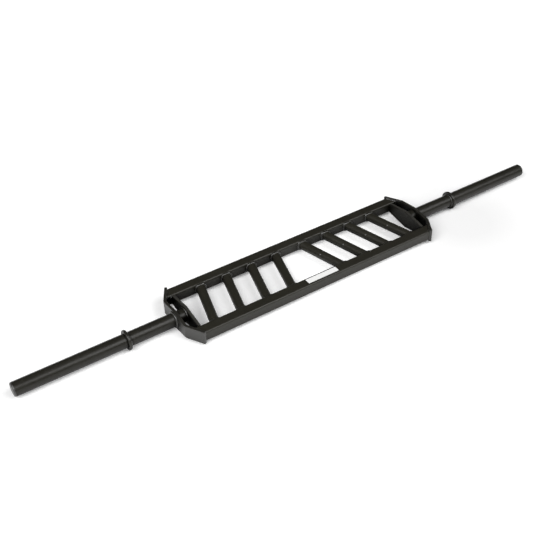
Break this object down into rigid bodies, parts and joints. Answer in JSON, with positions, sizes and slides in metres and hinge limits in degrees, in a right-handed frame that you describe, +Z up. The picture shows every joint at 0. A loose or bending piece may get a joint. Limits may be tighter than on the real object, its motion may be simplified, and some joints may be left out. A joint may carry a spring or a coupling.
{
  "type": "multi-grip barbell",
  "caption": "Straight barbell with a ladder frame of slanted neutral grips between two square rails, bent end brackets, hollow sleeves, stop collars and end plugs.",
  "frame": {"origin": "middle of the bar on the plane that it stands on, below the bar's axis", "axes": "+X along the bar to its right end, +Y across the frame from the front rail to the rear rail, +Z up out of the frame's plane"},
  "size_m": [2.1396, 0.2738, 0.07],
  "materials": {
    "rail": "satin black powder coat",
    "grip": "satin black powder coat",
    "cross_plate": "satin black powder coat",
    "end_bracket": "satin black powder coat",
    "weld": "weld beads under satin black powder coat",
    "sleeve": "smooth satin black",
    "collar": "smooth satin black",
    "end_plug": "moulded black plastic"
  },
  "bodies": {
    "root": {"front_rail": "rail", "rear_rail": "rail", "grip_1": "grip", "grip_2": "grip", "grip_3": "grip", "grip_4": "grip", "grip_5": "grip", "grip_6": "grip", "grip_7": "grip", "grip_8": "grip", "left_cross_plate": "cross_plate", "right_cross_plate": "cross_plate", "left_end_bracket": "end_bracket", "right_end_bracket": "end_bracket", "left_sleeve": "sleeve", "right_sleeve": "sleeve", "left_collar": "collar", "right_collar": "collar", "left_end_plug": "end_plug", "right_end_plug": "end_plug", "front_rail_left_weld": "weld", "front_rail_right_weld": "weld", "rear_rail_left_weld": "weld", "rear_rail_right_weld": "weld", "grip_1_front_weld": "weld", "grip_1_rear_weld": "weld", "grip_2_front_weld": "weld", "grip_2_rear_weld": "weld", "grip_3_front_weld": "weld", "grip_3_rear_weld": "weld", "grip_4_front_weld": "weld", "grip_4_rear_weld": "weld", "grip_5_front_weld": "weld", "grip_5_rear_weld": "weld", "grip_6_front_weld": "weld", "grip_6_rear_weld": "weld", "grip_7_front_weld": "weld", "grip_7_rear_weld": "weld", "grip_8_front_weld": "weld", "grip_8_rear_weld": "weld", "left_front_plate_weld": "weld", "left_rear_plate_weld": "weld", "left_sleeve_weld": "weld", "left_bracket_weld": "weld", "left_collar_weld": "weld", "right_front_plate_weld": "weld", "right_rear_plate_weld": "weld", "right_sleeve_weld": "weld", "right_bracket_weld": "weld", "right_collar_weld": "weld"}
  },
  "joints": []
}
